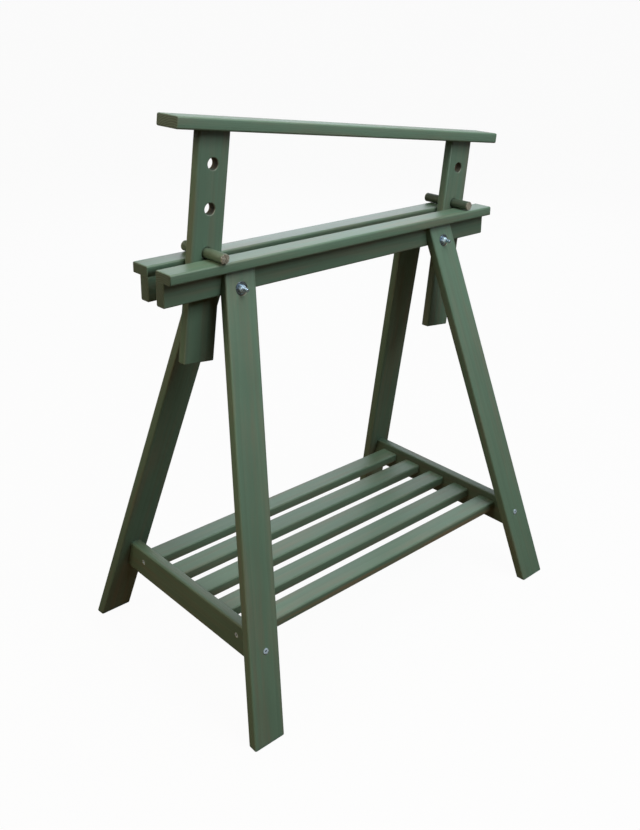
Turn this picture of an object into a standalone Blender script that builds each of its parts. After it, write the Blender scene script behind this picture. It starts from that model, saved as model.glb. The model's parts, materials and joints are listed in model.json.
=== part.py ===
"""A painted wooden trestle: four splayed legs, a slatted shelf, and a top bar on two posts.

The posts slide in the slot between two rails and hang on loose pegs, which lie across the rails.
The left peg is in a lower hole than the right one, so the bar slopes down to the right.
X runs along the rails, Y from front to rear, Z up, and the floor is at Z = 0.
"""

from math import acos, atan, atan2, copysign, cos, hypot, pi, sin, tan

import bmesh
import bpy
from mathutils import Matrix, Vector

# Clearances
GAP = 0.0003
SLOT_CLEARANCE = 0.002

# Rounded edges: planed along the boards, sanded at the ends that show, and round the pegs' ends
BOARD_EASE = 0.003
END_EASE = 0.0018
PEG_EASE = 0.001

# Rails: a flat cap on an upright web, in front of the slot and behind it, the cap set back a little
RAIL_TOP = 0.692
RAIL_LENGTH = 0.700
CAP_WIDTH = 0.038
CAP_THICKNESS = 0.016
CAP_SETBACK = 0.0006
WEB_HEIGHT = 0.038
WEB_THICKNESS = 0.020

# Legs: set in from the rails' ends at the top, and spread to the feet
LEG_INSET = 0.1015
LEG_FLARE = 0.105
FOOT_DEPTH = 0.460
LEG_WIDTH = 0.055
LEG_THICKNESS = 0.017

# Bolts through each pair of legs
BOLT_DIAMETER = 0.006
BOLT_DROP = 0.028
BOLT_REACH = 0.018
HEX_FLATS = 0.010
HEAD_HEIGHT = 0.004
NUT_HEIGHT = 0.005
COLLAR_HEIGHT = 0.0025
COLLAR_DIAMETER = 0.0085
WASHER_DIAMETER = 0.020
WASHER_THICKNESS = 0.0016
SEAT_MARGIN = 0.001
SPACER_DIAMETER = 0.010

# Top bar and its posts, which stand outside the bolts' sleeves
BAR_LENGTH = 0.700
BAR_WIDTH = 0.052
BAR_THICKNESS = 0.018
POST_WIDTH = 0.055
POST_THICKNESS = 0.016
POST_LENGTH = 0.346
LEFT_POST_CLEARANCE = 0.0017
RIGHT_POST_CLEARANCE = 0.0292

# Pegs and the row of holes in each post, counted from the top
PEG_DIAMETER = 0.016
PEG_LENGTH = 0.102
HOLE_DIAMETER = 0.018
HOLE_COUNT = 3
FIRST_HOLE_DROP = 0.048
HOLE_SPACING = 0.065
PEG_HOLES = {"left": 3, "right": 2}
LEFT_PEG_SHIFT = -0.003
RIGHT_PEG_SHIFT = 0.006

# Shelf
SHELF_RAIL_TOP = 0.152
SHELF_RAIL_HEIGHT = 0.052
SHELF_RAIL_THICKNESS = 0.018
SHELF_RAIL_OFFSET = 0.003
SLAT_COUNT = 5
SLAT_WIDTH = 0.038
SLAT_THICKNESS = 0.017
SLAT_DROP = 0.013
SLAT_MARGIN = 0.0227

# Countersunk screws
SCREW_DIAMETER = 0.004
SCREW_HEAD_DIAMETER = 0.009
SCREW_HEAD_HEIGHT = 0.0027
SCREW_RIM = 0.0003
SCREW_TIP = 0.004
SCREW_SINK = 0.0004
LEG_SCREW_LENGTH = 0.045
LEG_SCREW_HEIGHT = 0.131
SLAT_SCREW_LENGTH = 0.045
RECESS_LENGTH = 0.0048
RECESS_WIDTH = 0.0011
RECESS_DEPTH = 0.0016

# Hidden dowels
DOWEL_DIAMETER = 0.008
POST_DOWEL_SPACING = 0.030
POST_DOWEL_IN_BAR = 0.011
POST_DOWEL_IN_POST = 0.019
SLAT_DOWEL_IN_RAIL = 0.010
SLAT_DOWEL_IN_SLAT = 0.016

# Sides of round pieces
PEG_SIDES = 32
BOLT_SIDES = 24
SCREW_SIDES = 16

# Colours in linear light
PAINT = (0.115, 0.170, 0.125)
PEG_WOOD = (0.225, 0.245, 0.185)
HIDDEN_WOOD = (0.560, 0.400, 0.240)
ZINC = (0.620, 0.650, 0.690)

# Places that follow from the sizes above
FOOT_SPAN = RAIL_LENGTH + 2 * (LEG_FLARE - LEG_INSET)
SLOT_HALF = POST_THICKNESS / 2 + SLOT_CLEARANCE
WEB_OUTER = SLOT_HALF + WEB_THICKNESS
CAP_UNDERSIDE = RAIL_TOP - CAP_THICKNESS
WEB_UNDERSIDE = CAP_UNDERSIDE - WEB_HEIGHT
BOLT_HEIGHT = CAP_UNDERSIDE - BOLT_DROP
HEX_RADIUS = HEX_FLATS / 2 / cos(pi / 6)
SEAT_RADIUS = WASHER_DIAMETER / 2 + SEAT_MARGIN
HOLE_SAG = (HOLE_DIAMETER - PEG_DIAMETER) / 2 - GAP
PEG_CENTRE_HEIGHT = RAIL_TOP + GAP + PEG_DIAMETER / 2
SLAT_TOP = SHELF_RAIL_TOP - SLAT_DROP
SLAT_MIDDLE = SLAT_TOP - SLAT_THICKNESS / 2
UPWARDS = Vector((0, 0, 1))
REARWARDS = Vector((0, 1, 0))


def leg_slope():
    """The angle between a leg's wide face and the vertical.

    The inner face starts at the web's lower edge, and the outer one ends at the foot's edge.
    """
    run = FOOT_DEPTH / 2 - WEB_OUTER - GAP
    return acos(LEG_THICKNESS / hypot(run, WEB_UNDERSIDE)) - atan2(WEB_UNDERSIDE, run)


SLOPE = leg_slope()
SPREAD = LEG_FLARE / CAP_UNDERSIDE
LEAN = atan(SPREAD * cos(SLOPE))
LEG_ACROSS = LEG_WIDTH / cos(LEAN)
LEG_THROUGH = LEG_THICKNESS / cos(SLOPE)


def leg_middle_x(height):
    """The distance of a leg's centre line from the middle of the frame, along the rails."""
    return FOOT_SPAN / 2 - SPREAD * height - LEG_ACROSS / 2


def leg_outer_y(height):
    """The distance of a leg's outer face from the middle of the slot."""
    return FOOT_DEPTH / 2 - tan(SLOPE) * height


def leg_inner_y(height):
    """The distance of a leg's inner face from the middle of the slot."""
    return leg_outer_y(height) - LEG_THROUGH


def hole_height(number):
    """The place of a post's hole, up the post from the left peg's centre."""
    return (PEG_HOLES["left"] - number) * HOLE_SPACING - HOLE_SAG


BOLT_X = leg_middle_x(BOLT_HEIGHT)
BOLT_SEAT = leg_outer_y(BOLT_HEIGHT + SEAT_RADIUS)
BOLT_TO_POST = SPACER_DIAMETER / 2 + POST_WIDTH / 2
LEFT_PEG_X = -BOLT_X - BOLT_TO_POST - LEFT_POST_CLEARANCE
POST_SPACING = 2 * (BOLT_X + BOLT_TO_POST) + LEFT_POST_CLEARANCE + RIGHT_POST_CLEARANCE
PEG_RISE = (PEG_HOLES["left"] - PEG_HOLES["right"]) * HOLE_SPACING
BAR_TILT = atan2(PEG_RISE, POST_SPACING)
BAR_UNDERSIDE = hole_height(1) + FIRST_HOLE_DROP
BAR_MIDDLE = POST_SPACING / 2
BAR_RIGHT_END = (
    LEFT_PEG_X
    + (BAR_MIDDLE + BAR_LENGTH / 2) * cos(BAR_TILT)
    + (BAR_UNDERSIDE + BAR_THICKNESS) * sin(BAR_TILT)
)
MIDDLE_SHIFT = (FOOT_SPAN / 2 - BAR_RIGHT_END) / 2
SHELF_RAIL_X = leg_middle_x(SHELF_RAIL_TOP - SHELF_RAIL_HEIGHT / 2) - SHELF_RAIL_OFFSET
SHELF_RAIL_INNER = SHELF_RAIL_X - SHELF_RAIL_THICKNESS / 2
SHELF_RAIL_OUTER = SHELF_RAIL_X + SHELF_RAIL_THICKNESS / 2
OUTER_SLAT_Y = leg_inner_y(SLAT_TOP) - SLAT_MARGIN - SLAT_WIDTH / 2


def clear_scene():
    """Leaves an empty scene."""
    for item in list(bpy.data.objects):
        bpy.data.objects.remove(item, do_unlink=True)


def add_collection(name):
    """A collection in the scene."""
    collection = bpy.data.collections.new(name)
    bpy.context.scene.collection.children.link(collection)
    return collection


def material(name, colour, roughness, metallic):
    """A plain surface."""
    surface = bpy.data.materials.new(name)
    surface.use_nodes = True
    shader = surface.node_tree.nodes["Principled BSDF"]
    shader.inputs["Base Color"].default_value = (*colour, 1.0)
    shader.inputs["Roughness"].default_value = roughness
    shader.inputs["Metallic"].default_value = metallic
    surface.diffuse_color = (*colour, 1.0)
    return surface


def facing(point, direction):
    """The matrix that puts local +Z along a direction, at a point."""
    return Matrix.Translation(point) @ direction.to_track_quat("Z", "Y").to_matrix().to_4x4()


def axis(name, location, parent=None, tilt=0.0):
    """An empty that carries a group of pieces."""
    empty = bpy.data.objects.new(name, None)
    empty.empty_display_size = 0.05
    empty.location = location
    empty.rotation_euler = (0, tilt, 0)
    empty.parent = parent
    parts.objects.link(empty)
    return empty


def place(name, mesh, matrix, parent):
    """An object of the trestle that shows a mesh."""
    piece = bpy.data.objects.new(name, mesh)
    piece.parent = parent
    piece.matrix_local = matrix
    parts.objects.link(piece)
    return piece


def as_cutter(name, mesh, matrix, parent):
    """A hidden shape that others are cut with."""
    shape = bpy.data.objects.new(name, mesh)
    shape.parent = parent
    shape.matrix_local = matrix
    shape.hide_render = True
    shape.display_type = "WIRE"
    cutters.objects.link(shape)
    return shape


def cut(piece, cutter, operation="DIFFERENCE"):
    """Cuts a piece with a cutter."""
    change = piece.modifiers.new(cutter.name, "BOOLEAN")
    change.operation = operation
    change.solver = "EXACT"
    change.object = cutter


def ease(piece, width, limit_method):
    """Rounds the edges of a piece, either its sharp ones or by their weight."""
    bevel = piece.modifiers.new("eased edges", "BEVEL")
    bevel.width = width
    bevel.segments = 2
    bevel.limit_method = limit_method
    bevel.angle_limit = pi / 3


def baked(shape):
    """The finished mesh of a shape with modifiers, which is then removed."""
    view = bpy.context.evaluated_depsgraph_get()
    mesh = bpy.data.meshes.new_from_object(shape.evaluated_get(view))
    bpy.data.objects.remove(shape)
    return mesh


def cylinder(name, radius, length, sides, surface=None):
    """A cylinder mesh about local Z, centred on its origin."""
    shape = bmesh.new()
    bmesh.ops.create_cone(
        shape, cap_ends=True, segments=sides, radius1=radius, radius2=radius, depth=length
    )
    return finished(name, shape, surface)


def box(name, size, surface=None):
    """A box mesh, centred on its origin."""
    shape = bmesh.new()
    bmesh.ops.create_cube(shape, size=1.0, matrix=Matrix.Diagonal((*size, 1.0)))
    return finished(name, shape, surface)


def finished(name, shape, surface):
    """A mesh data block from a bmesh, shaded smooth across its shallow edges."""
    bmesh.ops.recalc_face_normals(shape, faces=shape.faces)
    mesh = bpy.data.meshes.new(name)
    shape.to_mesh(mesh)
    shape.free()
    mesh.shade_smooth()
    mesh.set_sharp_from_angle(angle=pi / 6)
    if surface:
        mesh.materials.append(surface)
    return mesh


def turned(name, profile, sides, surface=None):
    """A mesh turned about local Z from a profile of (radius, height), listed from the top down."""
    outline = bpy.data.meshes.new(name)
    points = [(radius, 0, height) for radius, height in profile]
    edges = [(number, number + 1) for number in range(len(points) - 1)]
    outline.from_pydata(points, edges, [])
    shape = bpy.data.objects.new(name, outline)
    cutters.objects.link(shape)
    turn = shape.modifiers.new("turn", "SCREW")
    turn.axis = "Z"
    turn.steps = sides
    turn.render_steps = sides
    turn.use_merge_vertices = True
    turn.merge_threshold = 0.00001
    mesh = baked(shape)
    mesh.shade_smooth()
    mesh.set_sharp_from_angle(angle=pi / 6)
    if surface:
        mesh.materials.append(surface)
    return mesh


def board(name, size, matrix, parent, planes=(), shown=(-1, 1), is_glued=None):
    """A painted board, sawn off by planes that are given in the parent's space.

    Its long edges are rounded, and its ends where they show. Glued edges and hidden ends are square.
    """
    shape = bmesh.new()
    bmesh.ops.create_cube(shape, size=1.0, matrix=matrix @ Matrix.Diagonal((*size, 1.0)))
    for point, normal in planes:
        everything = shape.verts[:] + shape.edges[:] + shape.faces[:]
        bmesh.ops.bisect_plane(
            shape, geom=everything, plane_co=point, plane_no=normal, clear_outer=True
        )
        bmesh.ops.holes_fill(shape, edges=[edge for edge in shape.edges if edge.is_boundary])
    bmesh.ops.transform(shape, matrix=matrix.inverted(), verts=shape.verts)
    weights = shape.edges.layers.float.new("bevel_weight_edge")
    length_axis = size.index(max(size))
    for edge in shape.edges:
        start, end = (vertex.co for vertex in edge.verts)
        middle = (start + end) / 2
        if is_glued and is_glued(middle):
            continue
        if abs((end - start).normalized()[length_axis]) > 0.99:
            edge[weights] = 1.0
        elif copysign(1, middle[length_axis]) in shown:
            edge[weights] = END_EASE / BOARD_EASE
    piece = place(name, finished(name, shape, green), matrix, parent)
    ease(piece, BOARD_EASE, "WEIGHT")
    return piece


def bolt_line(name, side, radius, length, y=0.0):
    """A round cutter along a bolt, from front to rear."""
    matrix = facing(Vector((side * BOLT_X, y, BOLT_HEIGHT)), REARWARDS)
    return as_cutter(name, cylinder(name, radius, length, BOLT_SIDES), matrix, frame)


def make_caps():
    """The flat boards on top of the webs."""
    size = (RAIL_LENGTH, CAP_WIDTH, CAP_THICKNESS)
    middle_y = SLOT_HALF + CAP_SETBACK + CAP_WIDTH / 2
    for end, way in (("front", -1), ("rear", 1)):

        def is_glued(point):
            return point.z < -CAP_THICKNESS / 4 and way * point.y < CAP_WIDTH / 4

        middle = Vector((0, way * middle_y, RAIL_TOP - CAP_THICKNESS / 2))
        board("cap_" + end, size, Matrix.Translation(middle), frame, is_glued=is_glued)


def make_webs(bolt_holes):
    """The upright boards on either side of the slot."""

    def is_glued(point):
        return point.z > WEB_HEIGHT / 4

    size = (RAIL_LENGTH, WEB_THICKNESS, WEB_HEIGHT - GAP)
    height = WEB_UNDERSIDE + size[2] / 2
    for end, way in (("front", -1), ("rear", 1)):
        middle = (0, way * (SLOT_HALF + WEB_THICKNESS / 2), height)
        web = board("web_" + end, size, Matrix.Translation(middle), frame, is_glued=is_glued)
        for hole in bolt_holes:
            cut(web, hole)


def leg_matrix(side, way):
    """A leg's place: its centre half-way up, its width, thickness and length along X, Y and Z."""
    height = CAP_UNDERSIDE / 2
    middle_y = (leg_outer_y(height) + leg_inner_y(height)) / 2
    middle = Vector((side * leg_middle_x(height), way * middle_y, height))
    splay = Matrix.Rotation(way * SLOPE, 4, "X")
    lean = Matrix.Rotation(-side * LEAN, 4, "Y")
    return Matrix.Translation(middle) @ splay @ lean


def leg_outward(way):
    """The direction square to a leg's outer face."""
    return Vector((0, way * cos(SLOPE), sin(SLOPE)))


def leg_screw_matrix(side, way):
    """The place of the screw through a leg, its head just under the leg's outer face."""
    outward = leg_outward(way)
    surface = Vector((side * SHELF_RAIL_X, way * leg_outer_y(LEG_SCREW_HEIGHT), LEG_SCREW_HEIGHT))
    return facing(surface - outward * SCREW_SINK, outward)


def make_leg(end, way, side_name, side, bolt_hole, screw_hole):
    """One leg: sawn level at the floor and under the cap, and upright against the web."""
    name = "leg_" + end + "_" + side_name
    uncut_length = hypot(CAP_UNDERSIDE, FOOT_DEPTH)
    planes = (
        (Vector((0, 0, 0)), -UPWARDS),
        (Vector((0, 0, CAP_UNDERSIDE - GAP)), UPWARDS),
        (Vector((0, way * (WEB_OUTER + GAP), 0)), -way * REARWARDS),
    )
    size = (LEG_WIDTH, LEG_THICKNESS, uncut_length)
    leg = board(name, size, leg_matrix(side, way), frame, planes, shown=(-1,))
    depth = FOOT_DEPTH / 2
    seat = bolt_line(name + "_seat", side, SEAT_RADIUS, depth, way * (BOLT_SEAT + depth / 2))
    cut(leg, bolt_hole)
    cut(leg, seat)
    cut(leg, screw_hole)


def make_washer(end, way, side_name, side, mesh):
    """A washer in a leg's seat."""
    middle = Vector((side * BOLT_X, way * (BOLT_SEAT + GAP + WASHER_THICKNESS / 2), BOLT_HEIGHT))
    place("washer_" + end + "_" + side_name, mesh, facing(middle, REARWARDS), frame)


def drilled(name, shape_mesh, radius, surface):
    """A mesh with a hole along local Z."""
    shape = bpy.data.objects.new(name, shape_mesh)
    cutters.objects.link(shape)
    drill = bpy.data.objects.new(name + "_drill", cylinder(name, radius, 2 * WEB_OUTER, BOLT_SIDES))
    cutters.objects.link(drill)
    cut(shape, drill)
    mesh = baked(shape)
    bpy.data.objects.remove(drill)
    mesh.materials.clear()
    mesh.materials.append(surface)
    return mesh


def lock_nut_mesh():
    """A hexagon nut with a round collar on its outer end, about local Z."""
    shape = bpy.data.objects.new("nut", cylinder("nut", HEX_RADIUS, NUT_HEIGHT, 6))
    cutters.objects.link(shape)
    reach = NUT_HEIGHT / 2 + COLLAR_HEIGHT
    rounding = COLLAR_HEIGHT / 3
    radius = COLLAR_DIAMETER / 2
    profile = ((0, reach), (radius - rounding, reach), (radius, reach - rounding), (radius, 0), (0, 0))
    collar = bpy.data.objects.new("collar", turned("collar", profile, BOLT_SIDES))
    cutters.objects.link(collar)
    cut(shape, collar, "UNION")
    whole = baked(shape)
    bpy.data.objects.remove(collar)
    return drilled("nut", whole, BOLT_DIAMETER / 2 + GAP, zinc)


def make_bolt(side_name, side):
    """A bolt with its hexagon head at the rear and its end standing out in front."""
    head_seat = BOLT_SEAT + 2 * GAP + WASHER_THICKNESS
    front_end = BOLT_SEAT + BOLT_REACH
    radius = BOLT_DIAMETER / 2
    point = radius / 4
    profile = (
        (0, front_end),
        (radius - point, front_end),
        (radius, front_end - point),
        (radius, -head_seat - HEAD_HEIGHT / 2),
        (0, -head_seat - HEAD_HEIGHT / 2),
    )
    name = "bolt_" + side_name
    matrix = facing(Vector((side * BOLT_X, 0, BOLT_HEIGHT)), -REARWARDS)
    bolt = place(name, turned(name, profile, BOLT_SIDES, zinc), matrix, frame)
    middle = matrix @ Matrix.Translation((0, 0, -head_seat - HEAD_HEIGHT / 2))
    head = as_cutter(name + "_head", cylinder(name, HEX_RADIUS, HEAD_HEIGHT, 6), middle, frame)
    cut(bolt, head, "UNION")


def make_bolt_set(side_name, side, nut):
    """A bolt, its nut and the sleeve that keeps the slot open."""
    make_bolt(side_name, side)
    nut_y = BOLT_SEAT + 2 * GAP + WASHER_THICKNESS + NUT_HEIGHT / 2
    middle = Vector((side * BOLT_X, -nut_y, BOLT_HEIGHT))
    place("nut_" + side_name, nut, facing(middle, -REARWARDS), frame)
    sleeve = cylinder("spacer", SPACER_DIAMETER / 2, 2 * (SLOT_HALF - GAP), BOLT_SIDES)
    sleeve = drilled("spacer", sleeve, BOLT_DIAMETER / 2 + GAP, zinc)
    middle = Vector((side * BOLT_X, 0, BOLT_HEIGHT))
    place("spacer_" + side_name, sleeve, facing(middle, REARWARDS), frame)


def screw_profile(length, grow=0.0, rise=0.0):
    """A countersunk screw's profile from its head down, grown by a clearance for its hole."""
    head = SCREW_HEAD_DIAMETER / 2 + grow
    shank = SCREW_DIAMETER / 2 + grow
    return (
        (0, rise),
        (head, rise),
        (head, -SCREW_RIM - grow),
        (shank, -SCREW_HEAD_HEIGHT - grow),
        (shank, SCREW_TIP - length),
        (0, -length - 2 * grow),
    )


def screw_mesh(name, length):
    """A countersunk screw with a cross recess."""
    shape = bpy.data.objects.new(name, turned(name, screw_profile(length), SCREW_SIDES))
    cutters.objects.link(shape)
    slots = []
    for size in ((RECESS_LENGTH, RECESS_WIDTH), (RECESS_WIDTH, RECESS_LENGTH)):
        slot = bpy.data.objects.new("recess", box("recess", (*size, 2 * RECESS_DEPTH)))
        cutters.objects.link(slot)
        cut(shape, slot)
        slots.append(slot)
    mesh = baked(shape)
    for slot in slots:
        bpy.data.objects.remove(slot)
    mesh.materials.clear()
    mesh.materials.append(zinc)
    return mesh


def screw_hole(name, length, matrix):
    """The countersunk hole that a screw fills."""
    profile = screw_profile(length, GAP, SCREW_HEAD_DIAMETER)
    return as_cutter(name, turned(name, profile, SCREW_SIDES), matrix, frame)


def dowel_hole(name, length, matrix, parent):
    """The hole that holds a dowel, deeper than the dowel by a gap at each end."""
    mesh = cylinder(name, DOWEL_DIAMETER / 2 + GAP, length + 2 * GAP, SCREW_SIDES)
    return as_cutter(name, mesh, matrix, parent)


def slat_places():
    """The slats' middles from rear to front."""
    step = 2 * OUTER_SLAT_Y / (SLAT_COUNT - 1)
    return [OUTER_SLAT_Y - number * step for number in range(SLAT_COUNT)]


def make_slats():
    """The shelf's slats, each with its joints to the two end rails."""
    length = 2 * (SHELF_RAIL_INNER - GAP)
    joints = {-1: [], 1: []}
    screw = screw_mesh("slat_screw", SLAT_SCREW_LENGTH)
    dowel_length = SLAT_DOWEL_IN_RAIL + SLAT_DOWEL_IN_SLAT
    dowel = cylinder("slat_dowel", DOWEL_DIAMETER / 2, dowel_length, SCREW_SIDES, bare)
    for number, y in enumerate(slat_places(), 1):
        matrix = Matrix.Translation((0, y, SLAT_MIDDLE))
        size = (length, SLAT_WIDTH, SLAT_THICKNESS)
        slat = board(f"slat_{number}", size, matrix, frame, shown=())
        outermost = number in (1, SLAT_COUNT)
        for side_name, side in (("left", -1), ("right", 1)):
            outward = Vector((side, 0, 0))
            name = f"slat_{number}_{side_name}"
            if outermost:
                point = Vector((side * (SHELF_RAIL_OUTER - SCREW_SINK), y, SLAT_MIDDLE))
                place(name + "_screw", screw, facing(point, outward), frame)
                hole = screw_hole(name + "_hole", SLAT_SCREW_LENGTH, facing(point, outward))
            else:
                x = SHELF_RAIL_INNER + (SLAT_DOWEL_IN_RAIL - SLAT_DOWEL_IN_SLAT) / 2
                point = Vector((side * x, y, SLAT_MIDDLE))
                place(name + "_dowel", dowel, facing(point, outward), frame)
                hole = dowel_hole(name + "_hole", dowel_length, facing(point, outward), frame)
            cut(slat, hole)
            joints[side].append(hole)
    return joints


def make_shelf_rail(side_name, side, holes):
    """An end rail of the shelf, sawn to the slope of the legs at both ends."""
    planes = []
    for way in (-1, 1):
        inward = -leg_outward(way)
        surface = Vector((0, way * leg_inner_y(0), 0))
        planes.append((surface + inward * GAP, -inward))
    size = (SHELF_RAIL_THICKNESS, FOOT_DEPTH, SHELF_RAIL_HEIGHT)
    middle = (side * SHELF_RAIL_X, 0, SHELF_RAIL_TOP - SHELF_RAIL_HEIGHT / 2)
    name = "shelf_rail_" + side_name
    rail = board(name, size, Matrix.Translation(middle), frame, planes, shown=())
    for hole in holes:
        cut(rail, hole)


def make_stand():
    """Everything that stands still: rails, legs, shelf and their fastenings."""
    bolt_radius = BOLT_DIAMETER / 2 + GAP
    bolt_holes = {
        side: bolt_line(f"bolt_hole_{side}", side, bolt_radius, FOOT_DEPTH) for side in (-1, 1)
    }
    make_caps()
    make_webs(bolt_holes.values())
    joints = make_slats()
    screw = screw_mesh("leg_screw", LEG_SCREW_LENGTH)
    washer = cylinder("washer", WASHER_DIAMETER / 2, WASHER_THICKNESS, BOLT_SIDES)
    washer = drilled("washer", washer, bolt_radius, zinc)
    nut = lock_nut_mesh()
    for side_name, side in (("left", -1), ("right", 1)):
        for end, way in (("front", -1), ("rear", 1)):
            matrix = leg_screw_matrix(side, way)
            name = "leg_screw_" + end + "_" + side_name
            place(name, screw, matrix, frame)
            hole = screw_hole(name + "_hole", LEG_SCREW_LENGTH, matrix)
            joints[side].append(hole)
            make_leg(end, way, side_name, side, bolt_holes[side], hole)
            make_washer(end, way, side_name, side, washer)
        make_bolt_set(side_name, side, nut)
        make_shelf_rail(side_name, side, joints[side])


def make_top_bar():
    """The bar and its two posts, joined by dowels, in the space of the tilting frame."""
    size = (BAR_LENGTH, BAR_WIDTH, BAR_THICKNESS)
    middle = (BAR_MIDDLE, 0, BAR_UNDERSIDE + BAR_THICKNESS / 2)
    bar = board("top_bar", size, Matrix.Translation(middle), tilting)
    length = POST_DOWEL_IN_BAR + POST_DOWEL_IN_POST
    dowel = cylinder("post_dowel", DOWEL_DIAMETER / 2, length, SCREW_SIDES, bare)
    for side_name, x in (("left", 0.0), ("right", POST_SPACING)):
        post = make_post(side_name, x)
        for number, step in ((1, -0.5), (2, 0.5)):
            height = BAR_UNDERSIDE + (POST_DOWEL_IN_BAR - POST_DOWEL_IN_POST) / 2
            point = (x + step * POST_DOWEL_SPACING, 0, height)
            matrix = Matrix.Translation(point)
            name = f"post_dowel_{side_name}_{number}"
            place(name, dowel, matrix, tilting)
            hole = dowel_hole(name + "_hole", length, matrix, tilting)
            cut(bar, hole)
            cut(post, hole)


def make_post(side_name, x):
    """A post with its row of peg holes."""
    size = (POST_WIDTH, POST_THICKNESS, POST_LENGTH - GAP)
    matrix = Matrix.Translation((x, 0, BAR_UNDERSIDE - GAP - size[2] / 2))
    post = board("post_" + side_name, size, matrix, tilting, shown=(-1,))
    for number in range(1, HOLE_COUNT + 1):
        name = f"peg_hole_{side_name}_{number}"
        mesh = cylinder(name, HOLE_DIAMETER / 2, 2 * POST_THICKNESS, PEG_SIDES)
        across = facing(Vector((x, 0, hole_height(number))), REARWARDS)
        cut(post, as_cutter(name, mesh, across, tilting))
    return post


def make_peg(name, place_on_axis, parent):
    """A round peg that lies across both rails."""
    mesh = cylinder(name, PEG_DIAMETER / 2, PEG_LENGTH, PEG_SIDES, pale)
    peg = place(name, mesh, facing(place_on_axis, REARWARDS), parent)
    ease(peg, PEG_EASE, "ANGLE")


clear_scene()
parts = add_collection("trestle")
cutters = add_collection("cutters")
green = material("green paint", PAINT, 0.5, 0.0)
pale = material("painted peg wood", PEG_WOOD, 0.65, 0.0)
bare = material("bare dowel wood", HIDDEN_WOOD, 0.7, 0.0)
zinc = material("zinc plated steel", ZINC, 0.3, 1.0)

frame = axis("stand", (MIDDLE_SHIFT, 0, 0))
lifting = axis("bar_lift", (LEFT_PEG_X, 0, PEG_CENTRE_HEIGHT), frame)
tilting = axis("bar_tilt", (0, 0, 0), lifting, BAR_TILT)

make_stand()
make_peg("peg_left", Vector((0, LEFT_PEG_SHIFT, 0)), lifting)
make_top_bar()
make_peg("peg_right", Vector((POST_SPACING, RIGHT_PEG_SHIFT, PEG_RISE)), tilting)
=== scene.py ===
"""The looks of a painted wooden trestle, with a plain stage, light and a camera."""

import json
from math import cos, pi, radians, sin
from random import Random

import bmesh
import bpy
from bpy.props import FloatProperty, FloatVectorProperty, PointerProperty
from mathutils import Matrix, Vector, noise

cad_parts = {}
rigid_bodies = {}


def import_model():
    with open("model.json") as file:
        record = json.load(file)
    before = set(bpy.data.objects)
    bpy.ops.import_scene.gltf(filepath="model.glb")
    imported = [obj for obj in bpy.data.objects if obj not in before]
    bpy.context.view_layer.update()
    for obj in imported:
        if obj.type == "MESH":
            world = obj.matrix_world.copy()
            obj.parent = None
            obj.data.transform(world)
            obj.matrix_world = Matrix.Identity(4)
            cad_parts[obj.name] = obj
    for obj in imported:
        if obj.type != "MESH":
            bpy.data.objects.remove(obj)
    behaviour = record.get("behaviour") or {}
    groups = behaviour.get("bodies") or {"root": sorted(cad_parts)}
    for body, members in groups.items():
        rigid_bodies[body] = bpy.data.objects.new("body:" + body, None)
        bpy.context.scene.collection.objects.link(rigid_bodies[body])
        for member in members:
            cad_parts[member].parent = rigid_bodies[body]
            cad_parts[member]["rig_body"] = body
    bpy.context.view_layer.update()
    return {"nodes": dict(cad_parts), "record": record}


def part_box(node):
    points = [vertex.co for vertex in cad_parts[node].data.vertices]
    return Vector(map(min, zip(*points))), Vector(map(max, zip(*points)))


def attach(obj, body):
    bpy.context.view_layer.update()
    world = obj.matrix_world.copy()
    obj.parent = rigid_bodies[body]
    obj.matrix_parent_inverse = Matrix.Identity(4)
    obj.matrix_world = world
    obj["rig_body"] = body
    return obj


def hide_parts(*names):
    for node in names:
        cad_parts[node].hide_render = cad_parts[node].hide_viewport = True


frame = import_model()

bl_info = {
    "name": "Painted Wooden Trestle",
    "version": (1, 0, 0),
    "blender": (4, 5, 0),
    "location": "3D View > Sidebar > Trestle",
    "description": "Dresses a trestle with painted boards, turned pegs and zinc-plated fastenings",
    "category": "Object",
}

UPWARDS = Vector((0, 0, 1))
FORWARDS = Vector((0, -1, 0))

# The boards that each operator paints
BOARDS = {
    "rails": ("cap_front", "cap_rear", "web_front", "web_rear"),
    "legs": ("leg_front_left", "leg_front_right", "leg_rear_left", "leg_rear_right"),
    "shelf": ("shelf_rail_left", "shelf_rail_right", *(f"slat_{n}" for n in range(1, 6))),
    "top_frame": ("top_bar", "post_left", "post_right"),
}

# How torn the pegs' front ends are
TEARS = {"peg_left": 1.0, "peg_right": 0.25}

# Pieces coloured darker or lighter than the others: partly their own tone, partly painted light
# and shade, lighter where a piece stands in more light and darker where it stands in shade
TONES_AND_PAINTED_LIGHT = {
    "cap_front": 1.07,
    "leg_front_left": 1.08,
    "leg_front_right": 1.16,
    "leg_rear_left": 0.93,
    "peg_right": 0.6,
    "post_left": 0.93,
    "shelf_rail_right": 0.72,
    "slat_4": 0.95,
}

# Boards whose paint is duller or glossier than on the others
DULLNESS = {"top_bar": 0.09, "cap_rear": -0.08, "cap_front": -0.02}

# How often each mark comes in a metre along a board, across it and through it
MARKS = {
    "fibres": (14.0, 520.0, 520.0),
    "strokes": (5.0, 1700.0, 1700.0),
    "patches": (7.0, 16.0, 16.0),
    "streaks": (6.0, 70.0, 70.0),
    "specks": (900.0, 900.0, 900.0),
}

# How often each mark comes in a metre of a peg in X, along it in Y and in Z
PEG_MARKS = {
    "fibres": (620.0, 22.0, 620.0),
    "patches": (90.0, 45.0, 90.0),
    "specks": (1100.0, 1100.0, 1100.0),
    "stripes": (520.0, 30.0, 90.0),
}

# Peg holes, and how far their middles hang below the middles of the pegs in them
HOLE_RADIUS = 0.0091
HOLE_SPACING = 0.065
HOLE_SAG = 0.0007

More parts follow.
